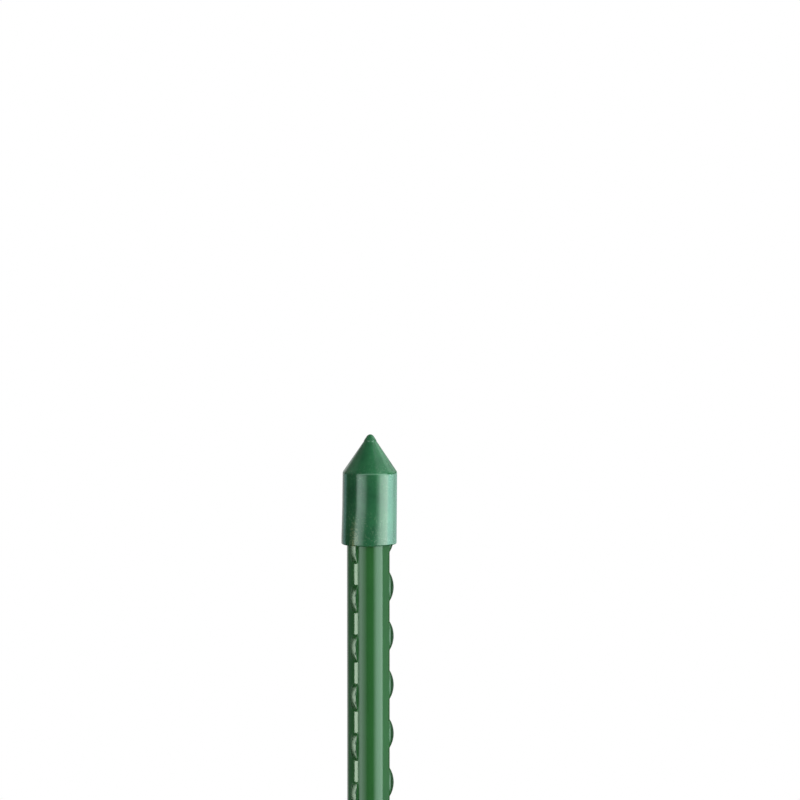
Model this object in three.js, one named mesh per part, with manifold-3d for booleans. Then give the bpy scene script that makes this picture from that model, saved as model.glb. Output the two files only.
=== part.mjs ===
// A plastic-coated steel plant stake: a thin-walled steel tube in a green plastic coating, with three
// rows of nubs that keep plant ties from slipping, and a pointed cap pushed over each end.
// Millimetres, +Z up along the stake, origin at the lower point, front towards -Y.
import * as THREE from "three";
import { mergeVertices } from "three/addons/utils/BufferGeometryUtils.js";
import Module from "manifold-3d";

const wasm = await Module();
wasm.setup();

// Driving dimensions: the shaft
const STAKE_LENGTH = 600; // point to point, with both caps pushed home
const SHAFT_DIAMETER = 11; // over the coating, between the nubs
const COATING_WALL = 0.7; // plastic between the nubs
const BOND_FILM = 0.05; // adhesive between the steel and the plastic
const TUBE_WALL = 0.4; // steel
const BEAD_WIDTH = 1; // weld bead along the inside of the tube's seam
const BEAD_HEIGHT = 0.2;

// Driving dimensions: the nubs
const NUB_ROWS = 3; // spread evenly round the shaft
const FIRST_ROW_TURN = -38.5; // degrees from the front, towards +X
const NUB_PITCH = 12.7; // along a row, half an inch
const NUB_LENGTH = 7.2; // where the nub's crest leaves the shaft
const NUB_WIDTH = 2; // flank to flank
const NUB_HEIGHT = 0.9; // crest above the shaft
const NUB_CROWN = 0.5; // how far the rounding of the crest reaches in from each flank
const NUB_CROWN_DROP = 0.2; // how much lower the crest is at its flanks
const NUB_ROOT = 0.4; // how far the nub runs on below the shaft's surface
const FIRST_NUB = 4.45; // first row's last nub to the upper end of the shaft
const ROW_LAG = 10.15; // each row's nubs lie this much lower than the last row's

// Driving dimensions: the caps
const CAP_DIAMETER = 14; // at the foot of the cone
const CAP_DRAFT = 0.05; // how much wider the skirt is at its rim, on the radius
const CAP_SKIRT = 18.5; // rim to the foot of the cone
const CAP_CONE = 9.65; // foot of the cone to the rounded point
const CAP_POINT_RADIUS = 0.8;
const CAP_EDGE_ROUND = 0.35; // rounding at the foot of the cone
const CAP_RIM_ROUND = 0.3; // rounding of the rim's outer edge
const CAP_LEAD_IN = 0.3; // bevel at the socket's mouth, on the radius
const CAP_LEAD_IN_DEPTH = 0.7;
const CAP_SHOULDER = 2.1; // foot of the cone down to the shoulder that the shaft stops on
const CAP_CROWN_WALL = 1.6; // plastic of the cone, square to its face

// Fits
const PRESSED_NUB = 0.35; // height of a nub squeezed flat under a cap's skirt
const SOCKET_CLEARANCE = 0.1; // pressed nub to socket wall, on the radius
const RIM_CLEARANCE = 0.3; // rim to the part of a nub that still stands at full height
const SEAT_CLEARANCE = 0.3; // end of the shaft to the cap's shoulder

// Facets
const SHAFT_SIDES = 24; // a multiple of the rows, so that each row stands in the middle of a side
const CAP_SIDES = 32;
const TUBE_STEPS = 14; // half as many as round the tube
const NUB_SIDES = 24; // of the whole disc
const CURVE_STEPS = 3;

// Sizes that follow from them
const firstRowTurn = THREE.MathUtils.degToRad(FIRST_ROW_TURN);
const shaftRadius = SHAFT_DIAMETER / 2;
const coatingBore = shaftRadius - COATING_WALL;
const tubeRadius = coatingBore - BOND_FILM;
const tubeBore = tubeRadius - TUBE_WALL;
const pressedRadius = shaftRadius + PRESSED_NUB;
const socketRadius = pressedRadius + SOCKET_CLEARANCE;
const socketDepth = CAP_SKIRT - CAP_SHOULDER;
const capHeight = CAP_SKIRT + CAP_CONE;
const shaftEnd = capHeight - socketDepth + SEAT_CLEARANCE; // from either point of the stake
const shaftLength = STAKE_LENGTH - 2 * shaftEnd;

const greenCoating = new THREE.MeshStandardMaterial({ color: "#2f6a36", roughness: 0.3 });
const greenCap = new THREE.MeshStandardMaterial({ color: "#316b47", roughness: 0.45 });
const bareSteel = new THREE.MeshStandardMaterial({ color: "#a3a6a8", roughness: 0.4, metalness: 1 });

// A closed geometry as a solid, with its shared corners merged and the flat triangles at poles left out.
function solidOf(geometry) {
  const bare = geometry.clone();
  bare.deleteAttribute("normal");
  bare.deleteAttribute("uv");
  const merged = mergeVertices(bare);
  const corners = merged.index.array;
  const triangles = [];
  for (let i = 0; i < corners.length; i += 3) {
    const [a, b, c] = corners.slice(i, i + 3);
    if (a !== b && b !== c && c !== a) triangles.push(a, b, c);
  }
  return new wasm.Manifold(
    new wasm.Mesh({
      numProp: 3,
      vertProperties: merged.attributes.position.array,
      triVerts: new Uint32Array(triangles),
    }),
  );
}

function geometryOf(solid) {
  const mesh = solid.getMesh();
  return new THREE.BufferGeometry()
    .setAttribute("position", new THREE.BufferAttribute(mesh.vertProperties, 3))
    .setIndex(new THREE.BufferAttribute(mesh.triVerts, 1));
}

function points(corners) {
  return corners.map(([radius, height]) => new THREE.Vector2(radius, height));
}

// A profile of radius and height, turned round the Z axis with its first corner at an angle from the front.
function turned(profile, sides, firstCorner) {
  return new THREE.LatheGeometry(profile, sides, firstCorner).rotateX(Math.PI / 2);
}

// A round bar round the Z axis between two heights, with each row of nubs in the middle of a side.
function bar(radius, low, high) {
  const profile = [
    [0, low],
    [radius, low],
    [radius, high],
    [0, high],
  ];
  return solidOf(turned(points(profile), SHAFT_SIDES, firstRowTurn + Math.PI / SHAFT_SIDES));
}

// The welded tube: a ring with the seam's bead standing in its bore, extruded upwards from the origin.
function steelTube() {
  const ring = new THREE.Shape().absarc(0, 0, tubeRadius, 0, 2 * Math.PI);
  const halfBead = BEAD_WIDTH / 2 / tubeBore;
  const bore = new THREE.Path().absarc(0, 0, tubeBore, halfBead, 2 * Math.PI - halfBead);
  const crest = tubeBore - 2 * BEAD_HEIGHT; // a quadratic curve rises half way to its control point
  bore.quadraticCurveTo(crest, 0, tubeBore * Math.cos(halfBead), tubeBore * Math.sin(halfBead));
  ring.holes.push(bore);
  return new THREE.ExtrudeGeometry(ring, {
    depth: shaftLength,
    bevelEnabled: false,
    curveSegments: TUBE_STEPS,
  });
}

// One nub is the part of a disc that stands out of the shaft along its length, with the disc's rim rounded
// off towards both flanks. It faces the front, with its middle at the height of the origin.
function nub() {
  const discRadius = ((NUB_LENGTH / 2) ** 2 + NUB_HEIGHT ** 2) / (2 * NUB_HEIGHT);
  const flank = NUB_WIDTH / 2;
  const rim = [
    [0, -flank],
    [discRadius - NUB_CROWN_DROP, -flank],
    [discRadius, NUB_CROWN - flank],
    [discRadius, flank - NUB_CROWN],
    [discRadius - NUB_CROWN_DROP, flank],
    [0, flank],
  ];
  const crest = shaftRadius + NUB_HEIGHT;
  const root = shaftRadius - NUB_ROOT;
  const disc = new THREE.LatheGeometry(points(rim), NUB_SIDES);
  disc.rotateZ(Math.PI / 2).translate(0, discRadius - crest, 0);
  const block = new THREE.BoxGeometry(2 * NUB_WIDTH, 2 * (crest - root), 2 * NUB_LENGTH);
  block.translate(0, -crest, 0);
  return geometryOf(solidOf(disc).intersect(solidOf(block)));
}

// Every nub of one row, from the shaft's upper end downwards, as long as the whole nub fits on it.
function nubRow(row) {
  const turn = firstRowTurn + (row * 2 * Math.PI) / NUB_ROWS;
  const first = shaftLength - ((FIRST_NUB + row * ROW_LAG) % NUB_PITCH);
  const facingRow = nub().rotateZ(turn);
  const nubs = [];
  for (let z = first; z > NUB_LENGTH / 2; z -= NUB_PITCH) {
    if (z + NUB_LENGTH / 2 < shaftLength) nubs.push(solidOf(facingRow.clone().translate(0, 0, z)));
  }
  return nubs;
}

// The coating: a bar with its nubs, squeezed flat where the caps' skirts cover them, round the tube's bore.
function plasticCoating() {
  const rows = Array.from({ length: NUB_ROWS }, (_, row) => nubRow(row));
  const covered = socketDepth - SEAT_CLEARANCE + RIM_CLEARANCE;
  const clear = CAP_DIAMETER;
  const room = bar(pressedRadius, 0, shaftLength).add(bar(clear, covered, shaftLength - covered));
  const nubs = wasm.Manifold.union(rows.flat()).intersect(room);
  const bore = bar(coatingBore, -COATING_WALL, shaftLength + COATING_WALL);
  return geometryOf(bar(shaftRadius, 0, shaftLength).add(nubs).subtract(bore));
}

// A cap as it sits on the upper end, from its rim at the origin: a skirt under a hollow cone.
function cap() {
  const radius = CAP_DIAMETER / 2;
  const rimRadius = radius + CAP_DRAFT;
  const pointCentre = CAP_CONE - CAP_POINT_RADIUS;
  // The cone's face touches the rounded point, so its slope follows from the cap's sizes.
  const slope =
    Math.atan2(pointCentre, radius) +
    Math.asin(CAP_POINT_RADIUS / Math.hypot(pointCentre, radius));
  const crownReach = CAP_CROWN_WALL / Math.sin(slope); // the cone's wall, measured level
  const apex = CAP_SKIRT + radius * Math.tan(slope);
  const profile = new THREE.Path();
  profile.moveTo(0, apex - crownReach * Math.tan(slope));
  profile.lineTo(tubeBore, apex - (crownReach + tubeBore) * Math.tan(slope));
  profile.lineTo(tubeBore, socketDepth);
  profile.lineTo(socketRadius, socketDepth);
  profile.lineTo(socketRadius, CAP_LEAD_IN_DEPTH);
  profile.lineTo(socketRadius + CAP_LEAD_IN, 0);
  profile.lineTo(rimRadius - CAP_RIM_ROUND, 0);
  profile.quadraticCurveTo(rimRadius, 0, rimRadius, CAP_RIM_ROUND);
  profile.lineTo(radius, CAP_SKIRT - CAP_EDGE_ROUND);
  profile.quadraticCurveTo(
    radius,
    CAP_SKIRT,
    radius - CAP_EDGE_ROUND * Math.cos(slope),
    CAP_SKIRT + CAP_EDGE_ROUND * Math.sin(slope),
  );
  profile.absarc(0, CAP_SKIRT + pointCentre, CAP_POINT_RADIUS, Math.PI / 2 - slope, Math.PI / 2);
  return turned(profile.getPoints(CURVE_STEPS), CAP_SIDES, 0);
}

function piece(name, geometry, material) {
  const mesh = new THREE.Mesh(geometry, material);
  mesh.name = name;
  return mesh;
}

const shaft = new THREE.Group();
shaft.add(piece("steel_tube", steelTube(), bareSteel));
shaft.add(piece("plastic_coating", plasticCoating(), greenCoating));
shaft.position.z = shaftEnd;

const topCap = piece("top_cap", cap(), greenCap);
topCap.position.z = STAKE_LENGTH - capHeight;

const groundCap = piece("ground_cap", cap(), greenCap);
groundCap.position.z = capHeight;
groundCap.rotation.x = Math.PI;

const stake = new THREE.Group();
stake.add(shaft, topCap, groundCap);

export default stake;
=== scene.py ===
import math

import bmesh
import bpy
from mathutils import Matrix, Vector


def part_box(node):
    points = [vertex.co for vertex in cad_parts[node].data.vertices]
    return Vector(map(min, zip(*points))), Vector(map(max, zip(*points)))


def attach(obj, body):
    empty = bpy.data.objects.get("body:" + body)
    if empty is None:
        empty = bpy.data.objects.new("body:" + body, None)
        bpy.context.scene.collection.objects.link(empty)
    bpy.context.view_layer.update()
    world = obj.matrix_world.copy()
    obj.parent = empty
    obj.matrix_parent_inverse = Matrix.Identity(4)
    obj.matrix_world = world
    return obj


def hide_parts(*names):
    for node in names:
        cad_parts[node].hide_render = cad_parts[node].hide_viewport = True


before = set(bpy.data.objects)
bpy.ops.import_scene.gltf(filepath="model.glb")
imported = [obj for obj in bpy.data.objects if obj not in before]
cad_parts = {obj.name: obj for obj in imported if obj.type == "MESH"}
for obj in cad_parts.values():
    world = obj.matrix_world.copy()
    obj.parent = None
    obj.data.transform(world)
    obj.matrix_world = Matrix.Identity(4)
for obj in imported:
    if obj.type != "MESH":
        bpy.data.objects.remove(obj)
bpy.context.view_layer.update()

# Sizes in millimetres, the same as the solids'
SHAFT_DIAMETER = 11  # over the coating, between the nubs
COATING_WALL = 0.7
BOND_FILM = 0.05  # adhesive between the steel and the plastic
TUBE_WALL = 0.4
BEAD_WIDTH = 1.0  # weld bead along the inside of the tube's seam
BEAD_HEIGHT = 0.2

NUB_ROWS = 3  # spread evenly round the shaft
FIRST_ROW_TURN = -38.5  # degrees from the front, towards +X
NUB_PITCH = 12.7  # along a row
NUB_LENGTH = 7.2
NUB_HEIGHT = 0.9
FIRST_NUB = 4.45  # first row's last nub to the upper end of the shaft
ROW_LAG = 10.15  # each row's nubs lie this much lower than the last row's
PRESSED_NUB = 0.35  # height of a nub squeezed flat under a cap's skirt

CAP_DIAMETER = 14  # at the foot of the cone
CAP_DRAFT = 0.05  # how much wider the skirt is at its rim, on the radius
CAP_SKIRT = 18.5  # rim to the foot of the cone
CAP_CONE = 9.65  # foot of the cone to the point
CAP_POINT_RADIUS = 0.8  # of the solids' rounded point
CAP_EDGE_ROUND = 0.35  # rounding at the foot of the cone
CAP_RIM_ROUND = 0.3  # rounding of the rim's outer edge
CAP_LEAD_IN = 0.3  # bevel at the socket's mouth, on the radius
CAP_LEAD_IN_DEPTH = 0.7
CAP_SHOULDER = 2.1  # foot of the cone down to the shoulder that the shaft stops on
CAP_CROWN_WALL = 1.6  # plastic of the cone, square to its face
SOCKET_CLEARANCE = 0.1  # pressed nub to socket wall, on the radius

# Sizes of the finer forms that only the visible surface has, in millimetres
NUB_SWELL = 0.07  # how far the crest swelled when a wheel pressed the nub up
NUB_TILT = math.radians(2)  # the crest rises a little towards the right, seen from outside
NUB_FLATNESS = 0.5  # 0 for a crest as round as the shaft, and 1 for a flat one
NUB_LEFT_EDGE = -0.6  # the crest's edges, from the middle of the nub
NUB_RIGHT_EDGE = 0.95
NUB_EDGE_ROUND = 0.08
NUB_FLARE = 1.5  # how far the hollow left flank, which the wheel drew out, reaches from its edge
NUB_FLANK_SPREAD = 0.02  # how far the foot of the steep right flank lies outside its edge
NUB_FLANK_SLOPE = 12.0  # millimetres up for each millimetre across
NUB_FILLET = 0.12
NUB_SINK = 0.02  # the sheet that makes a nub ends this far below the shaft's surface
RIM_STEP = 0.08  # outside a cap's rim, a squeezed nub rises to its full height over this length
TUBE_EDGE_ROUND = 0.06
TIP_BUTTON = 1.75  # the mould's gate left a low button on the point
TIP_BUTTON_STEP = 0.18  # the button's upright edge
TIP_BUTTON_FLAT = 0.6  # radius of the button's top before it is rounded
TIP_BUTTON_ROUND = 0.57
TIP_STEP_ROUND = 0.08
MOUTH_ROUND = 0.1
LEAD_IN_ROUND = 0.2
SHOULDER_ROUND = 0.15
TOP_CAP_SHIFT = 0.24  # the top cap was pushed on a little askew
TOP_CAP_LEAN = math.radians(0.58)
RIM_BULGE = 0.55  # how far the nub that the top cap's rim caught lifts the skirt
RIM_BULGE_TURN = -40  # degrees from the front, where it lifts the skirt most
RIM_BULGE_REACH = 4.6  # round the skirt
RIM_BULGE_HEIGHT = 2.16  # above this height over the rim, the lift fades over the length of a nub

# How finely the visible surfaces are cut
CROWN_COLUMNS = 4
EDGE_COLUMNS = 5
FLANK_COLUMNS = 2
FLARE_COLUMNS = 7
CREST_RINGS = 5
END_RINGS = 5
CREST_SHARE = 0.75  # the crest's rings cover this share of half a nub's length
SHEET_SHARE = 1.12  # and the whole sheet covers this share
SKIRT_RINGS = 14
SHAFT_STEPS = 96
CAP_STEPS = 96
TUBE_STEPS = 72
TIP_ROUND_STEPS = 6
ROUND_STEPS = 4
SMALL_ROUND_STEPS = 2
HELD_EDGE = 0.1  # a ring this close to an edge keeps the shading of the face beside it even
SHARP_ANGLE = math.radians(55)
MERGE_DISTANCE = 0.0001
NEAR = 0.001  # a vertex this close to a ring lies on it

# Sizes of the materials' patterns, in millimetres, the finest ones drawn as coarse as they need to show
TONE_PATCH = 9  # slow changes in the coating's green
DIE_LINE = 0.9  # lines that the die drew along the coating
DIE_LINE_DEPTH = 0.01
DIE_LINE_SQUASH = 0.02  # places squashed by this along the shaft draw a pattern out into lines
NUB_LOOK_START = 0.1  # height above the shaft where a nub starts to get duller and to take its painted shade
NUB_LOOK_DULL = 0.4  # height where it is fully dull
NUB_PAINTED_SHADE_FULL = 0.7  # height where a nub's painted shade is full
CLOUD = 6  # uneven pigment in the caps
GRAIN = 0.6  # the mould's grain on the caps
GRAIN_DEPTH = 0.03
SCUFF_PATCH = 7
SCUFF_SPECK = 0.5
SCUFF_REACH = 10  # from a cap's rim towards its point
STRAIN_HIGHLIGHT_TURN = -29  # degrees from the front, where the top cap's skirt is stretched most and where its pale mark also paints in a brighter highlight
STRAIN_CORE = 0.4  # how far the palest part reaches from there
STRAIN_REACH = 1.6
STRAIN_SQUASH = 0.2  # places squashed by this along the skirt draw the pale mark out
STEEL_LINE = 0.3  # lines that the rolls drew along the tube
STEEL_LINE_SQUASH = 0.03
FLOOR_MOTTLE = 400

# Sizes that follow from them and from the frame
MM = 0.001  # a millimetre in the scene's metres


def heights(node):
    """The lowest and the highest point of one of the solids, in millimetres."""
    low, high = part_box(node)
    return low.z / MM, high.z / MM


shaft_low, shaft_high = heights("plastic_coating")
rim_high, stake_top = heights("top_cap")
stake_bottom, rim_low = heights("ground_cap")
shaft_radius = SHAFT_DIAMETER / 2
coating_bore = shaft_radius - COATING_WALL
tube_radius = coating_bore - BOND_FILM
tube_bore = tube_radius - TUBE_WALL

cap_radius = CAP_DIAMETER / 2
rim_radius = cap_radius + CAP_DRAFT
cap_height = CAP_SKIRT + CAP_CONE
socket_radius = shaft_radius + PRESSED_NUB + SOCKET_CLEARANCE
socket_depth = CAP_SKIRT - CAP_SHOULDER
# The cone's face touches a rounded point, as in the solids, so its slope follows from the cap's sizes.
point_centre = CAP_CONE - CAP_POINT_RADIUS
cone_slope = math.atan2(point_centre, cap_radius)
cone_slope += math.asin(CAP_POINT_RADIUS / math.hypot(point_centre, cap_radius))
cone_apex = CAP_SKIRT + cap_radius * math.tan(cone_slope)
crown_reach = CAP_CROWN_WALL / math.sin(cone_slope)  # the cone's wall, measured level
button_low = cap_height - TIP_BUTTON
button_radius = (cone_apex - button_low) / math.tan(cone_slope)


def finished(name, shape, material, body, node):
    """Turns a bmesh in millimetres into a smooth piece that stands for one of the solids."""
    bmesh.ops.scale(shape, vec=(MM, MM, MM), verts=shape.verts)
    mesh = bpy.data.meshes.new(name)
    shape.to_mesh(mesh)
    shape.free()
    mesh.shade_smooth()
    mesh.set_sharp_from_angle(angle=SHARP_ANGLE)
    mesh.materials.append(material)
    piece = bpy.data.objects.new(name, mesh)
    bpy.context.collection.objects.link(piece)
    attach(piece, body)
    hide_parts(node)
    return piece


def spun(shape, profile, steps, closed=False):
    """Turns a profile of radius and height round the Z axis."""
    corners = [shape.verts.new((radius, 0, height)) for radius, height in profile]
    ends = corners[1:] + corners[:1] if closed else corners[1:]
    section = corners + [shape.edges.new(pair) for pair in zip(corners, ends)]
    bmesh.ops.spin(
        shape, geom=section, cent=(0, 0, 0), axis=(0, 0, 1), angle=math.tau, steps=steps, use_merge=True
    )
    bmesh.ops.remove_doubles(shape, verts=shape.verts, dist=MERGE_DISTANCE)


def wall_section(outer, inner):
    """The section of a round wall as long as the shaft."""
    return [(outer, shaft_low), (outer, shaft_high), (inner, shaft_high), (inner, shaft_low)]


def spaced(start, stretches):
    """Places from a start on, through stretches that are each given by their end and number of steps."""
    places = [start]
    for end, steps in stretches:
        begin = places[-1]
        places += [begin + (end - begin) * step / steps for step in range(1, steps + 1)]
    return places


# The coating with its nubs


def smaller(first, second, rounding):
    """The smaller of two heights, with the crease where they cross rounded off."""
    overlap = max(0, rounding - abs(first - second))
    return min(first, second) - overlap**2 / (4 * rounding)


def nub_lift(across, along):
    """How far a nub stands out of the shaft, at a distance across and along from its middle."""
    height = NUB_HEIGHT + NUB_SWELL
    disc_radius = ((NUB_LENGTH / 2) ** 2 + height**2) / (2 * height)
    crest = height - disc_radius + math.sqrt(disc_radius**2 - along**2)
    crest += across * math.tan(NUB_TILT) + NUB_FLATNESS * across**2 / SHAFT_DIAMETER
    past_edge = max(across - NUB_RIGHT_EDGE, NUB_LEFT_EDGE - across)
    past_crown = min(max(0, past_edge + NUB_EDGE_ROUND), NUB_EDGE_ROUND)
    edge = crest - NUB_EDGE_ROUND + math.sqrt(NUB_EDGE_ROUND**2 - past_crown**2)
    flank = (NUB_RIGHT_EDGE + NUB_FLANK_SPREAD - across) * NUB_FLANK_SLOPE
    # A small fillet runs round the nub's foot.
    lift = -smaller(-min(edge, flank), NUB_SINK, NUB_FILLET)
    if across > NUB_LEFT_EDGE:
        return lift
    # The left flank falls from the crest's edge to the shaft in a hollow curve, a quarter of an ellipse.
    to_foot = max(0, 1 + (across - NUB_LEFT_EDGE) / NUB_FLARE)
    return (lift + NUB_SINK) * (1 - math.sqrt(1 - to_foot**2)) - NUB_SINK


def nub_places():
    """How far across from a nub's middle the columns of its sheet lie, from left to right."""
    flare_turns = [math.pi / 2 * step / FLARE_COLUMNS for step in range(FLARE_COLUMNS, 0, -1)]
    edge_turns = [math.pi / 2 * step / EDGE_COLUMNS for step in range(1, EDGE_COLUMNS)]
    inside_edge = [NUB_EDGE_ROUND * (1 - math.sin(turn)) for turn in edge_turns]
    crown_left = NUB_LEFT_EDGE + NUB_EDGE_ROUND
    crown_right = NUB_RIGHT_EDGE - NUB_EDGE_ROUND
    foot = NUB_RIGHT_EDGE + NUB_FLANK_SPREAD + NUB_SINK
    places = [NUB_LEFT_EDGE - NUB_FLARE * (1 - math.cos(turn)) for turn in flare_turns]
    places += [NUB_LEFT_EDGE] + [NUB_LEFT_EDGE + inside for inside in reversed(inside_edge)]
    places += spaced(crown_left, [(crown_right, CROWN_COLUMNS)])
    places += [NUB_RIGHT_EDGE - inside for inside in inside_edge]
    places += spaced(NUB_RIGHT_EDGE, [(foot, FLANK_COLUMNS)])
    return places


def nub_levels(centre):
    """The heights of a nub's rings, with two close ones where a cap's rim crosses it."""
    half = NUB_LENGTH / 2
    upwards = spaced(0, [(CREST_SHARE * half, CREST_RINGS), (SHEET_SHARE * half, END_RINGS)])
    downwards = [-place for place in reversed(upwards[1:])]
    levels = [centre + place for place in downwards + upwards]
    for below, above in ((rim_high - RIM_STEP, rim_high), (rim_low, rim_low + RIM_STEP)):
        if levels[0] < below and above < levels[-1]:
            nearest = min(range(len(levels) - 1), key=lambda ring: abs(levels[ring] - below))
            levels[nearest : nearest + 2] = [below, above]
    return levels


def add_nub(shape, row, centre):
    """Adds a nub as a fine sheet that rises out of the shaft's surface."""
    places = nub_places()
    levels = nub_levels(centre)
    columns = len(places) - 1
    rings = len(levels) - 1
    row_turn = math.radians(FIRST_ROW_TURN) + row * math.tau / NUB_ROWS
    # The sheet starts as a flat grid that is 1 wide and 1 tall.
    reach = 0.5
    sheet = bmesh.ops.create_grid(shape, x_segments=columns, y_segments=rings, size=reach)["verts"]
    for vert in sheet:
        across = places[round((vert.co.x + reach) * columns)]
        height = levels[round((vert.co.y + reach) * rings)]
        lift = nub_lift(across, height - centre)
        if height <= rim_low or height >= rim_high:
            lift = min(lift, PRESSED_NUB)
        turn = row_turn + across / shaft_radius
        radius = shaft_radius + lift
        vert.co = (radius * math.sin(turn), -radius * math.cos(turn), height)


def make_coating(material):
    """The coating's wall, with every nub of every row that fits on the shaft."""
    shape = bmesh.new()
    for row in range(NUB_ROWS):
        centre = shaft_high - (FIRST_NUB + row * ROW_LAG) % NUB_PITCH
        while centre > shaft_low + NUB_LENGTH / 2:
            if centre + NUB_LENGTH / 2 < shaft_high:
                add_nub(shape, row, centre)
            centre -= NUB_PITCH
    # Each sheet is closed below the surface, where nothing shows.
    bmesh.ops.holes_fill(shape, edges=shape.edges, sides=0)
    spun(shape, wall_section(shaft_radius, coating_bore), SHAFT_STEPS, closed=True)
    bmesh.ops.recalc_face_normals(shape, faces=shape.faces)
    return finished("nubbed_coating", shape, material, "shaft", "plastic_coating")


# The steel tube inside it


def make_tube(material):
    """The tube's wall, with the weld bead standing a little out of its bore on the side of +X."""
    shape = bmesh.new()
    spun(shape, wall_section(tube_radius, tube_bore), TUBE_STEPS, closed=True)
    for vert in shape.verts:
        off_seam = math.atan2(vert.co.y, vert.co.x) * tube_bore
        if vert.co.xy.length < tube_bore + NEAR and abs(off_seam) < BEAD_WIDTH / 2:
            rise = BEAD_HEIGHT * math.cos(math.pi * off_seam / BEAD_WIDTH)
            vert.co.xy *= (tube_bore - rise) / tube_bore
    bmesh.ops.recalc_face_normals(shape, faces=shape.faces)
    bmesh.ops.bevel(
        shape,
        geom=[edge for edge in shape.edges if edge.calc_face_angle(0) > SHARP_ANGLE],
        offset=TUBE_EDGE_ROUND,
        segments=SMALL_ROUND_STEPS,
        profile=0.5,
        affect="EDGES",
        material=-1,
        clamp_overlap=True,
    )
    return finished("welded_tube", shape, material, "shaft", "steel_tube")


# The pointed caps


def cap_profile():
    """A cap's section with its rim at height 0, from inside the point round the rim to the outside."""
    skirt_shares = [ring / SKIRT_RINGS for ring in range(SKIRT_RINGS)]
    return [
        (0, cone_apex - crown_reach * math.tan(cone_slope)),
        (tube_bore, cone_apex - (crown_reach + tube_bore) * math.tan(cone_slope)),
        (tube_bore, socket_depth),
        (socket_radius, socket_depth),
        (socket_radius, CAP_LEAD_IN_DEPTH),
        (socket_radius + CAP_LEAD_IN, 0),
        *((rim_radius - CAP_DRAFT * share, CAP_SKIRT * share) for share in skirt_shares),
        (cap_radius, CAP_SKIRT),
        (button_radius + HELD_EDGE / math.tan(cone_slope), button_low - HELD_EDGE),
        (button_radius, button_low),
        (button_radius, button_low + TIP_BUTTON_STEP),
        (TIP_BUTTON_FLAT, cap_height),
        (0, cap_height),
    ]


def lies_on(vert, radius, height):
    """Whether a vertex lies on the ring at a radius and a height."""
    return abs(vert.co.xy.length - radius) < NEAR and abs(vert.co.z - height) < NEAR


def round_cap_edges(shape):
    """Rounds a cap's edges, each given by its radius, height, rounding and number of steps."""
    rounds = [
        (TIP_BUTTON_FLAT, cap_height, TIP_BUTTON_ROUND, TIP_ROUND_STEPS),
        (button_radius, button_low + TIP_BUTTON_STEP, TIP_STEP_ROUND, SMALL_ROUND_STEPS),
        (cap_radius, CAP_SKIRT, CAP_EDGE_ROUND, ROUND_STEPS),
        (rim_radius, 0, CAP_RIM_ROUND, ROUND_STEPS),
        (socket_radius + CAP_LEAD_IN, 0, MOUTH_ROUND, SMALL_ROUND_STEPS),
        (socket_radius, CAP_LEAD_IN_DEPTH, LEAD_IN_ROUND, SMALL_ROUND_STEPS),
        (socket_radius, socket_depth, SHOULDER_ROUND, SMALL_ROUND_STEPS),
    ]
    for radius, height, rounding, steps in rounds:
        ring = [edge for edge in shape.edges if all(lies_on(vert, radius, height) for vert in edge.verts)]
        bmesh.ops.bevel(
            shape, geom=ring, offset=rounding, segments=steps, profile=0.5, affect="EDGES", material=-1
        )


def push_on(shape, shift, lean, bulge):
    """Shows outside that a cap sits askew or over a nub, while its soft socket follows the shaft."""
    outside = (socket_radius + CAP_LEAD_IN + rim_radius) / 2
    for vert in shape.verts:
        if vert.co.xy.length > outside or vert.co.z > CAP_SKIRT:
            off_nub = math.atan2(vert.co.x, -vert.co.y) - math.radians(RIM_BULGE_TURN)
            over_nub = math.exp(-((off_nub * cap_radius / RIM_BULGE_REACH) ** 2))
            near_rim = min(1, max(0, 1 - (vert.co.z - RIM_BULGE_HEIGHT) / NUB_LENGTH))
            vert.co.xy *= 1 + bulge * over_nub * near_rim / cap_radius
            vert.co.x += shift + vert.co.z * math.tan(lean)


def make_cap(name, material, body, node, place, shift=0.0, lean=0.0, bulge=0.0):
    """A cap, set in its place on one end of the shaft."""
    shape = bmesh.new()
    spun(shape, cap_profile(), CAP_STEPS)
    bmesh.ops.recalc_face_normals(shape, faces=shape.faces)
    round_cap_edges(shape)
    push_on(shape, shift, lean, bulge)
    bmesh.ops.transform(shape, matrix=place, verts=shape.verts)
    return finished(name, shape, material, body, node)


# Materials

POLYETHYLENE_IOR = 1.51
POLYETHYLENE_SHEEN = "#e6fff2"
NOISE_LOW = 0.3  # most of a noise's values lie between these
NOISE_HIGH = 0.7

# The Mix node's sockets for colours, which go by number because its other sockets have the same names
MIX_A = 6
MIX_B = 7
MIX_RESULT = 2


def linear(hex_colour):
    """An sRGB hex colour as the linear colour that a shader takes."""
    levels = [int(hex_colour[start : start + 2], 16) / 255 for start in (1, 3, 5)]
    colour = [level / 12.92 if level <= 0.04045 else ((level + 0.055) / 1.055) ** 2.4 for level in levels]
    return [*colour, 1]


def per_metre(size):
    """The texture scale that gives features of a size in millimetres."""
    return 1 / (size * MM)


def add(tree, kind, sockets=None, **settings):
    """Adds a node with its settings, and links or fills its sockets, which go by name or number."""
    made = tree.nodes.new(kind)
    for key, value in settings.items():
        setattr(made, key, value)
    for key, value in (sockets or {}).items():
        if isinstance(value, bpy.types.NodeSocket):
            tree.links.new(value, made.inputs[key])
        else:
            made.inputs[key].default_value = value
    return made


def new_material(name):
    """An empty material and its node tree."""
    material = bpy.data.materials.new(name)
    material.use_nodes = True
    material.node_tree.nodes.clear()
    return material, material.node_tree


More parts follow.
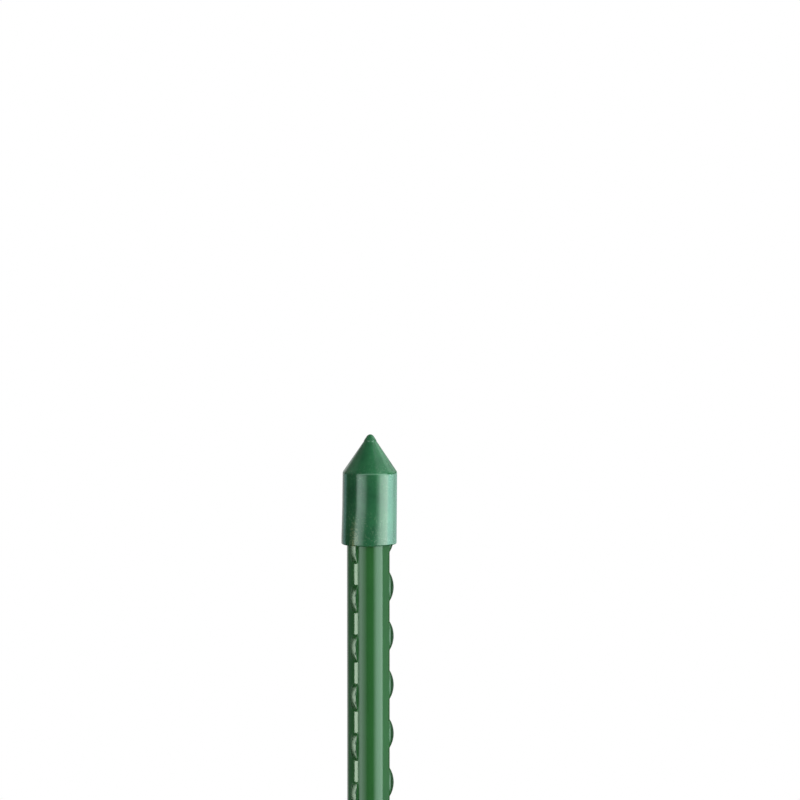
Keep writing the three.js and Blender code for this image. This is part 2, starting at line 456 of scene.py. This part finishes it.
# Polyethylene drawn through a die: glossy, a clean dark green, with faint lines along the shaft.
def extruded_polyethylene():
    material, tree = new_material("extruded_polyethylene")
    place = add(tree, "ShaderNodeTexCoord").outputs["Object"]
    drawn = add(
        tree, "ShaderNodeMapping", {"Vector": place, "Scale": (1, 1, DIE_LINE_SQUASH)}
    ).outputs[0]
    tone = add(
        tree, "ShaderNodeTexNoise", {"Vector": place, "Scale": per_metre(TONE_PATCH), "Detail": 3}
    ).outputs[0]
    lines = add(
        tree, "ShaderNodeTexNoise", {"Vector": drawn, "Scale": per_metre(DIE_LINE), "Detail": 2}
    ).outputs[0]
    green = add(
        tree,
        "ShaderNodeMix",
        {"Factor": tone, MIX_A: linear("#2a5b2c"), MIX_B: linear("#306732")},
        data_type="RGBA",
    ).outputs[MIX_RESULT]
    # The wheels that pressed the nubs left them a little duller than the drawn skin. Their darkening is
    # painted shade, mixed in more the higher a nub stands.
    flat = add(tree, "ShaderNodeVectorMath", {0: place, 1: (1, 1, 0)}, operation="MULTIPLY").outputs[0]
    from_axis = add(tree, "ShaderNodeVectorMath", {0: flat}, operation="LENGTH").outputs["Value"]
    look_start = (shaft_radius + NUB_LOOK_START) * MM
    dull_level = (shaft_radius + NUB_LOOK_DULL) * MM
    painted_shade_level = (shaft_radius + NUB_PAINTED_SHADE_FULL) * MM
    dulling = add(
        tree,
        "ShaderNodeMapRange",
        {"Value": from_axis, "From Min": look_start, "From Max": dull_level, "To Max": 0.1},
    ).outputs[0]
    # Painted shade: the nubs' green is mixed towards a near-black green the higher they stand.
    nub_painted_shade = add(
        tree,
        "ShaderNodeMapRange",
        {"Value": from_axis, "From Min": look_start, "From Max": painted_shade_level, "To Max": 0.6},
    ).outputs[0]
    colour = add(
        tree,
        "ShaderNodeMix",
        {"Factor": nub_painted_shade, MIX_A: green, MIX_B: linear("#0c2a12")},
        data_type="RGBA",
    ).outputs[MIX_RESULT]
    drawn_gloss = add(
        tree,
        "ShaderNodeMapRange",
        {"Value": tone, "From Min": NOISE_LOW, "From Max": NOISE_HIGH, "To Min": 0.1, "To Max": 0.15},
    ).outputs[0]
    gloss = add(tree, "ShaderNodeMath", {0: drawn_gloss, 1: dulling}, operation="ADD").outputs[0]
    relief = add(
        tree, "ShaderNodeBump", {"Height": lines, "Strength": 0.25, "Distance": DIE_LINE_DEPTH * MM}
    ).outputs[0]
    shader = add(
        tree,
        "ShaderNodeBsdfPrincipled",
        {
            "Base Color": colour,
            "Roughness": gloss,
            "Normal": relief,
            "IOR": POLYETHYLENE_IOR,
            "Specular Tint": linear(POLYETHYLENE_SHEEN),
        },
    )
    add(tree, "ShaderNodeOutputMaterial", {"Surface": shader.outputs[0]})
    return material


# Polyethylene from a mould: satin, a bluer green, cloudy where the pigment isn't quite even, with pale
# scuffs and dust that gather near the rim.
def moulded_polyethylene():
    material, tree = new_material("moulded_polyethylene")
    place = add(tree, "ShaderNodeTexCoord").outputs["Object"]
    clouds = add(
        tree,
        "ShaderNodeTexNoise",
        {"Vector": place, "Scale": per_metre(CLOUD), "Detail": 5, "Roughness": 0.7},
    ).outputs[0]
    pigment = add(
        tree, "ShaderNodeMapRange", {"Value": clouds, "From Min": NOISE_LOW, "From Max": NOISE_HIGH}
    ).outputs[0]
    green = add(
        tree,
        "ShaderNodeMix",
        {"Factor": pigment, MIX_A: linear("#1e4f32"), MIX_B: linear("#2d6741")},
        data_type="RGBA",
    ).outputs[MIX_RESULT]
    # Both rims lie equally far from the middle of the stake.
    middle = (stake_bottom + stake_top) / 2 * MM
    rim = rim_high * MM - middle
    height = add(tree, "ShaderNodeSeparateXYZ", {"Vector": place}).outputs["Z"]
    from_middle = add(tree, "ShaderNodeMath", {0: height, 1: middle}, operation="SUBTRACT").outputs[0]
    outwards = add(tree, "ShaderNodeMath", {0: from_middle}, operation="ABSOLUTE").outputs[0]
    near_rim = add(
        tree,
        "ShaderNodeMapRange",
        {
            "Value": outwards,
            "From Min": rim,
            "From Max": rim + SCUFF_REACH * MM,
            "To Min": 0.22,
            "To Max": 0,
        },
    ).outputs[0]
    patches = add(
        tree, "ShaderNodeTexNoise", {"Vector": place, "Scale": per_metre(SCUFF_PATCH), "Detail": 2}
    ).outputs[0]
    worn = add(tree, "ShaderNodeMath", {0: patches, 1: near_rim}, operation="ADD").outputs[0]
    wear = add(
        tree,
        "ShaderNodeMapRange",
        {"Value": worn, "From Min": 0.45, "From Max": 0.85, "To Max": 0.22},
    ).outputs[0]
    specks = add(
        tree, "ShaderNodeTexNoise", {"Vector": place, "Scale": per_metre(SCUFF_SPECK), "Detail": 1}
    ).outputs[0]
    dust = add(
        tree, "ShaderNodeMapRange", {"Value": specks, "From Min": 0.55, "From Max": 0.75}
    ).outputs[0]
    scuff = add(tree, "ShaderNodeMath", {0: wear, 1: dust}, operation="MULTIPLY").outputs[0]
    scuffed = add(
        tree,
        "ShaderNodeMix",
        {"Factor": scuff, MIX_A: green, MIX_B: linear("#a8c4a4")},
        data_type="RGBA",
    ).outputs[MIX_RESULT]
    # Beside the nub that the top cap's rim caught, the stretched skirt has gone pale. The pale mark also
    # lies on the skirt's left highlight and brightens it there as a painted highlight.
    turn = math.radians(STRAIN_HIGHLIGHT_TURN)
    caught = Vector((cap_radius * math.sin(turn), -cap_radius * math.cos(turn), rim_high)) * MM
    squash = Vector((1, 1, STRAIN_SQUASH))
    squashed = add(tree, "ShaderNodeVectorMath", {0: place, 1: squash}, operation="MULTIPLY").outputs[0]
    off_nub = add(
        tree, "ShaderNodeVectorMath", {0: squashed, 1: caught * squash}, operation="DISTANCE"
    ).outputs["Value"]
    strain_and_highlight_mask = add(
        tree,
        "ShaderNodeMapRange",
        {
            "Value": off_nub,
            "From Min": STRAIN_CORE * MM,
            "From Max": STRAIN_REACH * MM,
            "To Min": 0.45,
            "To Max": 0,
        },
    ).outputs[0]
    pale_specks = add(
        tree,
        "ShaderNodeMapRange",
        {"Value": specks, "From Min": 0.4, "From Max": 0.65, "To Min": 0.15},
    ).outputs[0]
    strain_and_painted_highlight = add(tree, "ShaderNodeMath", {0: strain_and_highlight_mask, 1: pale_specks}, operation="MULTIPLY").outputs[0]
    # The pale mark: stress whitening, and partly a painted highlight.
    colour = add(
        tree,
        "ShaderNodeMix",
        {"Factor": strain_and_painted_highlight, MIX_A: scuffed, MIX_B: linear("#b8bc88")},
        data_type="RGBA",
    ).outputs[MIX_RESULT]
    grain = add(
        tree, "ShaderNodeTexNoise", {"Vector": place, "Scale": per_metre(GRAIN), "Detail": 3}
    ).outputs[0]
    satin = add(
        tree,
        "ShaderNodeMapRange",
        {"Value": grain, "From Min": NOISE_LOW, "From Max": NOISE_HIGH, "To Min": 0.14, "To Max": 0.22},
    ).outputs[0]
    relief = add(
        tree, "ShaderNodeBump", {"Height": grain, "Strength": 0.12, "Distance": GRAIN_DEPTH * MM}
    ).outputs[0]
    shader = add(
        tree,
        "ShaderNodeBsdfPrincipled",
        {
            "Base Color": colour,
            "Roughness": satin,
            "Normal": relief,
            "IOR": POLYETHYLENE_IOR,
            "Specular Tint": linear(POLYETHYLENE_SHEEN),
        },
    )
    add(tree, "ShaderNodeOutputMaterial", {"Surface": shader.outputs[0]})
    return material


# Cold-rolled steel with a thin zinc plating: grey, with drawn lines along the tube.
def zinc_plated_steel():
    material, tree = new_material("zinc_plated_steel")
    place = add(tree, "ShaderNodeTexCoord").outputs["Object"]
    drawn = add(
        tree, "ShaderNodeMapping", {"Vector": place, "Scale": (1, 1, STEEL_LINE_SQUASH)}
    ).outputs[0]
    lines = add(
        tree, "ShaderNodeTexNoise", {"Vector": drawn, "Scale": per_metre(STEEL_LINE), "Detail": 4}
    ).outputs[0]
    grey = add(
        tree,
        "ShaderNodeMix",
        {"Factor": lines, MIX_A: linear("#9a9d9f"), MIX_B: linear("#b4b7b8")},
        data_type="RGBA",
    ).outputs[MIX_RESULT]
    rough = add(
        tree, "ShaderNodeMapRange", {"Value": lines, "To Min": 0.3, "To Max": 0.5}
    ).outputs[0]
    shader = add(
        tree, "ShaderNodeBsdfPrincipled", {"Base Color": grey, "Roughness": rough, "Metallic": 1}
    )
    add(tree, "ShaderNodeOutputMaterial", {"Surface": shader.outputs[0]})
    return material


# Studio paper: matt and nearly white, a little mottled.
def studio_paper():
    material, tree = new_material("studio_paper")
    place = add(tree, "ShaderNodeTexCoord").outputs["Object"]
    mottle = add(
        tree, "ShaderNodeTexNoise", {"Vector": place, "Scale": per_metre(FLOOR_MOTTLE)}
    ).outputs[0]
    white = add(
        tree,
        "ShaderNodeMix",
        {"Factor": mottle, MIX_A: linear("#f2f2f0"), MIX_B: linear("#f7f7f6")},
        data_type="RGBA",
    ).outputs[MIX_RESULT]
    shader = add(tree, "ShaderNodeBsdfPrincipled", {"Base Color": white, "Roughness": 0.8})
    add(tree, "ShaderNodeOutputMaterial", {"Surface": shader.outputs[0]})
    return material


# The four pieces

coating_plastic = extruded_polyethylene()
cap_plastic = moulded_polyethylene()
tube_steel = zinc_plated_steel()

coating = make_coating(coating_plastic)
tube = make_tube(tube_steel)
on_top = Matrix.Translation((0, 0, rim_high))
upside_down = Matrix.Translation((0, 0, rim_low)) @ Matrix.Rotation(math.pi, 4, "X")
top_cap = make_cap(
    "pointed_top_cap",
    cap_plastic,
    "upper_cap",
    "top_cap",
    on_top,
    shift=TOP_CAP_SHIFT,
    lean=TOP_CAP_LEAN,
    bulge=RIM_BULGE,
)
ground_cap = make_cap("pointed_ground_cap", cap_plastic, "lower_cap", "ground_cap", upside_down)

# The pale floor under the lower point, in metres
FLOOR_RADIUS = 1.5
FLOOR_STEPS = 96
floor_mesh = bpy.data.meshes.new("floor")
floor_shape = bmesh.new()
bmesh.ops.create_circle(floor_shape, cap_ends=True, segments=FLOOR_STEPS, radius=FLOOR_RADIUS)
floor_shape.to_mesh(floor_mesh)
floor_shape.free()
floor_mesh.materials.append(studio_paper())
floor = bpy.data.objects.new("floor", floor_mesh)
floor.visible_glossy = False
floor.visible_diffuse = False
bpy.context.collection.objects.link(floor)
# When the shaft is pulled out of the ground cap, the cap stays standing on the floor.
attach(floor, "lower_cap")

# Light: tall soft panels round the stake, with their distances and levels in metres
PANEL_DISTANCE = 1.2
STRIP_DISTANCE = 0.4
SIDE = (0.05, 1.15)
BESIDE_SHAFT = (0.1, 0.7)
BESIDE_CAP = (0.2, 0.62)
ABOVE_CAP = (0.95, 1.7)
BEHIND_CAP = (0.8, 2.6)
OVERHEAD = (1.4, 3.2)
CEILING = (2.4, 4.4)
WHITE = "#ffffff"
COOL_WHITE = "#f4ffff"
LEFT_WHITE = "#fafcff"
SEA_WHITE = "#dcffff"


def panel(name, angles, levels, glows, colour, lit_pieces, shows="all", distance=PANEL_DISTANCE):
    """Sets up a panel that lights some of the pieces: all of their look, or only their gloss or shade.

    It reaches from one angle to another, seen from above, in degrees from the camera's side, positive to
    the right, and from one level to another. Its glow runs evenly from its left edge to its right edge.
    """
    middle = math.radians(sum(angles) / 2)
    width = 2 * distance * math.tan(math.radians(angles[1] - angles[0]) / 2)
    light = bpy.data.lights.new(name, "AREA")
    light.shape = "RECTANGLE"
    light.size = width
    light.size_y = levels[1] - levels[0]
    # The energy grows with the area, so that a glow looks equally bright on a panel of any size.
    light.energy = math.pi * width * light.size_y
    light.use_nodes = True
    tree = light.node_tree
    tree.nodes.clear()
    across = add(tree, "ShaderNodeNewGeometry").outputs["Parametric"]
    share = add(tree, "ShaderNodeSeparateXYZ", {"Vector": across}).outputs["X"]
    glow = add(
        tree, "ShaderNodeMapRange", {"Value": share, "To Min": glows[0], "To Max": glows[1]}
    ).outputs[0]
    emission = add(tree, "ShaderNodeEmission", {"Color": linear(colour), "Strength": glow})
    add(tree, "ShaderNodeOutputLight", {"Surface": emission.outputs[0]})
    lamp = bpy.data.objects.new(name, light)
    away = Vector((math.sin(middle), -math.cos(middle), 0))
    lamp.location = away * distance + Vector((0, 0, sum(levels) / 2))
    lamp.rotation_euler = away.to_track_quat("Z", "Y").to_euler()
    lamp.visible_camera = False
    lamp.visible_diffuse = shows != "gloss"
    lamp.visible_glossy = shows != "shade"
    lit = bpy.data.collections.new(name)
    for piece in lit_pieces:
        lit.objects.link(piece)
    lamp.light_linking.receiver_collection = lit
    bpy.context.collection.objects.link(lamp)


caps = [top_cap, ground_cap]
whole_stake = [coating, tube, *caps]
panel("right_edge", (27, 48), SIDE, (0.3, 4.3), COOL_WHITE, whole_stake)
panel("right_panel", (48, 83.5), SIDE, (4.3, 5.5), COOL_WHITE, whole_stake)
panel("left_edge", (-57, -42), SIDE, (1.3, 3.4), LEFT_WHITE, whole_stake)
panel("left_panel", (-42, -8), SIDE, (3.4, 0.3), LEFT_WHITE, whole_stake)
panel("upper_right_panel", (45, 130), OVERHEAD, (0.9, 1.2), COOL_WHITE, whole_stake)
panel("back_fill", (130, 230), SIDE, (2.2, 2.2), WHITE, whole_stake, "shade")
panel("left_strip", (-79, -58.5), BESIDE_SHAFT, (9.8, 9.8), "#fffbf2", [coating], "gloss", STRIP_DISTANCE)
panel("left_wall", (-130, -84), SIDE, (0.2, 0.08), "#d0f0ff", [coating], "gloss")
panel("right_wall", (84, 140), SIDE, (0.8, 0.2), "#e0ffff", [coating], "gloss")
panel("cap_left_wall", (-140, -116), BESIDE_CAP, (0.3, 1.2), "#c8f4ff", caps, "gloss")
panel("cap_left_panel", (-55, -15), BESIDE_CAP, (2.4, 1.1), "#f8ffff", caps, "gloss")
panel("cap_right_panel", (43, 83.5), BESIDE_CAP, (2.0, 5.6), "#fff4f8", caps, "gloss")
panel("cap_right_wall", (83.5, 120), BESIDE_CAP, (9.9, 3.6), SEA_WHITE, caps, "gloss")
panel("cap_back_wall", (120, 170), BESIDE_CAP, (2.5, 0.3), SEA_WHITE, caps, "gloss")
panel("cap_upper_panel", (-60, 75), ABOVE_CAP, (2.0, 3.0), COOL_WHITE, caps, "gloss")
panel("cap_upper_back_wall", (108, 168), BEHIND_CAP, (1.3, 0.7), "#e8fff8", caps, "gloss")
panel("cap_upper_left_wall", (-160, -80), BEHIND_CAP, (0.3, 0.3), WHITE, caps, "gloss")
panel("top_panel", (50, 130), CEILING, (14, 14), WHITE, caps, "shade")

# The floor has a wide soft light of its own.
FLOOR_LIGHT_STRENGTH = 3.0
FLOOR_LIGHT_SPREAD = math.radians(120)
floor_light = bpy.data.lights.new("floor_light", "SUN")
floor_light.energy = FLOOR_LIGHT_STRENGTH
floor_light.angle = FLOOR_LIGHT_SPREAD
floor_lamp = bpy.data.objects.new("floor_light", floor_light)
floor_lit = bpy.data.collections.new("floor_light")
floor_lit.objects.link(floor)
floor_lamp.light_linking.receiver_collection = floor_lit
bpy.context.collection.objects.link(floor_lamp)

# A white backdrop behind the stake and a dim room in front of it. The camera sees white all round it.
BACKDROP_ANGLE = math.radians(-165)  # from the camera's side, positive to the right
BACKDROP_EDGE = 0.84  # cosine of the angle from the backdrop's middle where it ends
BACKDROP_FULL = 0.9  # and where it has its full glow
BACKDROP_GLOW = 0.75
ROOM_GLOW = 0.06
world = bpy.data.worlds.new("studio")
bpy.context.scene.world = world
world.use_nodes = True
sky = world.node_tree
sky.nodes.clear()
direction = add(sky, "ShaderNodeTexCoord").outputs["Generated"]
towards = (math.sin(BACKDROP_ANGLE), -math.cos(BACKDROP_ANGLE), 0)
depth = add(
    sky, "ShaderNodeVectorMath", {0: direction, 1: towards}, operation="DOT_PRODUCT"
).outputs["Value"]
backdrop = add(
    sky,
    "ShaderNodeMapRange",
    {
        "Value": depth,
        "From Min": BACKDROP_EDGE,
        "From Max": BACKDROP_FULL,
        "To Min": ROOM_GLOW,
        "To Max": BACKDROP_GLOW,
    },
).outputs[0]
seen = add(sky, "ShaderNodeLightPath").outputs["Is Camera Ray"]
strength = add(sky, "ShaderNodeMath", {0: backdrop, 1: seen}, operation="MAXIMUM").outputs[0]
glow = add(sky, "ShaderNodeBackground", {"Color": linear(WHITE), "Strength": strength})
add(sky, "ShaderNodeOutputWorld", {"Surface": glow.outputs[0]})

# Camera: a long lens a little above the cap, looking slightly down
VIEW_DISTANCE = 0.7  # metres
VIEW_DROP = math.radians(3.7)
AIM_RIGHT = 0.00815  # where the camera looks, from the stake's upper point, in metres
AIM_ABOVE_POINT = 0.0088
LENS = 123  # millimetres
SENSOR_WIDTH = 36
camera = bpy.data.cameras.new("camera")
camera.lens = LENS
camera.sensor_width = SENSOR_WIDTH
eye = bpy.data.objects.new("camera", camera)
aim = Vector((AIM_RIGHT, 0, stake_top * MM + AIM_ABOVE_POINT))
look = Vector((0, math.cos(VIEW_DROP), -math.sin(VIEW_DROP)))
eye.location = aim - look * VIEW_DISTANCE
eye.rotation_euler = look.to_track_quat("-Z", "Y").to_euler()
bpy.context.collection.objects.link(eye)
bpy.context.scene.camera = eye
bpy.context.scene.view_settings.view_transform = "Standard"
